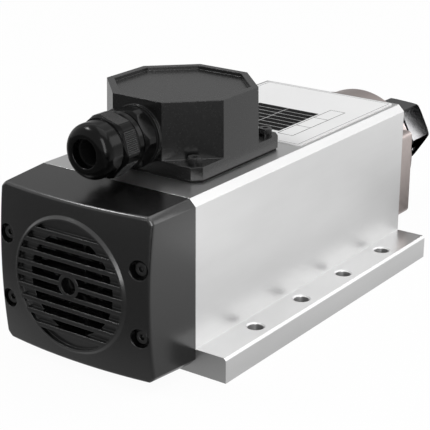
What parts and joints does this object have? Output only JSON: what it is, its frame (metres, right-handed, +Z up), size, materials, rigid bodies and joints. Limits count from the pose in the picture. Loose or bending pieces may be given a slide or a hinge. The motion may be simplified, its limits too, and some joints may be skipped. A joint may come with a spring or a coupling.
{
  "type": "motor spindle",
  "caption": "Air-cooled square motor spindle with a collet nose, drilled mounting base, grilled rear cover and a terminal box with a cable gland.",
  "frame": {"origin": "centre of the base bolt pattern, on the underside of the base", "axes": "+X along the spindle towards the collet nose, +Z up from the base towards the terminal box, +Y completes the right hand set; the picture shows the -Y side"},
  "size_m": [0.277, 0.112, 0.106],
  "materials": {
    "anodised_aluminium": "fine satin, clear anodised",
    "nose_metal": "turned and milled, faint lines",
    "cast_aluminium": "cast, dull",
    "bare_steel": "turned, bright",
    "bearing_steel": "ground, bright",
    "black_oxide": "blackened and turned",
    "black_screws": "blackened",
    "lamination": "stacked sheet, varnished",
    "winding_copper": "enamelled copper",
    "cover_black": "satin black powder coat",
    "box_black": "satin black",
    "black_plastic": "moulded",
    "gland_black": "moulded, glossy",
    "black_rubber": "soft, matt",
    "block_plastic": "moulded",
    "brass_screws": "nickel free brass",
    "label_white": "white sheet with a thin frame"
  },
  "bodies": {
    "root": {"housing": "anodised_aluminium", "front_housing": "nose_metal", "nose_screws": "black_screws", "bearing_retainer": "bare_steel", "front_bearing_outer": "bearing_steel", "rear_bearing_outer": "bearing_steel", "stator_core": "lamination", "stator_winding": "winding_copper", "rear_shield": "cast_aluminium", "preload_spring": "bare_steel", "rear_cover": "cover_black", "rear_cover_screws": "black_screws", "terminal_box": "box_black", "terminal_box_gasket": "black_rubber", "terminal_box_screws": "black_screws", "terminal_block": "block_plastic", "terminal_screws": "brass_screws", "earth_screw": "brass_screws", "phase_leads": "winding_copper", "gland_washer": "black_rubber", "gland_body": "gland_black", "label_plate": "label_white"},
    "rotor": {"shaft": "bare_steel", "rotor_core": "lamination", "rotor_end_rings": "cast_aluminium", "bearing_lock_nut": "bare_steel", "front_bearing_inner": "bearing_steel", "rear_bearing_inner": "bearing_steel", "dust_slinger": "bare_steel", "fan": "black_plastic", "fan_nut": "black_screws"},
    "front_balls": {"front_bearing_balls": "bearing_steel"},
    "rear_balls": {"rear_bearing_balls": "bearing_steel"},
    "collet": {"collet": "bearing_steel"},
    "nut": {"collet_nut": "black_oxide", "nut_set_screws": "bare_steel"},
    "gland_seal": {"gland_seal": "black_rubber"},
    "gland_cap": {"gland_cap": "gland_black"}
  },
  "joints": [
    {"name": "spindle_spin", "type": "hinge", "parent": "root", "child": "rotor", "pos_m": [0, 0, 0.0385], "axis": [1, 0, 0], "continuous": true},
    {"name": "front_balls_spin", "type": "hinge", "parent": "root", "child": "front_balls", "pos_m": [0, 0, 0.0385], "axis": [1, 0, 0], "continuous": true},
    {"name": "rear_balls_spin", "type": "hinge", "parent": "root", "child": "rear_balls", "pos_m": [0, 0, 0.0385], "axis": [1, 0, 0], "continuous": true},
    {"name": "collet_draw", "type": "slide", "parent": "rotor", "child": "collet", "axis": [1, 0, 0], "range_m": [0, 0.006]},
    {"name": "nut_turn", "type": "hinge", "parent": "collet", "child": "nut", "pos_m": [0, 0, 0.0385], "axis": [1, 0, 0], "range_deg": [0, 1440]},
    {"name": "gland_seal_slide", "type": "slide", "parent": "root", "child": "gland_seal", "axis": [-1, 0, 0], "range_m": [0, 0.0045]},
    {"name": "gland_cap_turn", "type": "hinge", "parent": "gland_seal", "child": "gland_cap", "pos_m": [0, 0, 0.0905], "axis": [-1, 0, 0], "range_deg": [0, 1080]}
  ],
  "couplings": [
    {"joint": "front_balls_spin", "follows": "spindle_spin", "ratio": 0.41181},
    {"joint": "rear_balls_spin", "follows": "spindle_spin", "ratio": 0.39872},
    {"joint": "nut_turn", "follows": "collet_draw", "rad_per_m": 4188.8},
    {"joint": "gland_cap_turn", "follows": "gland_seal_slide", "rad_per_m": 4188.8}
  ]
}
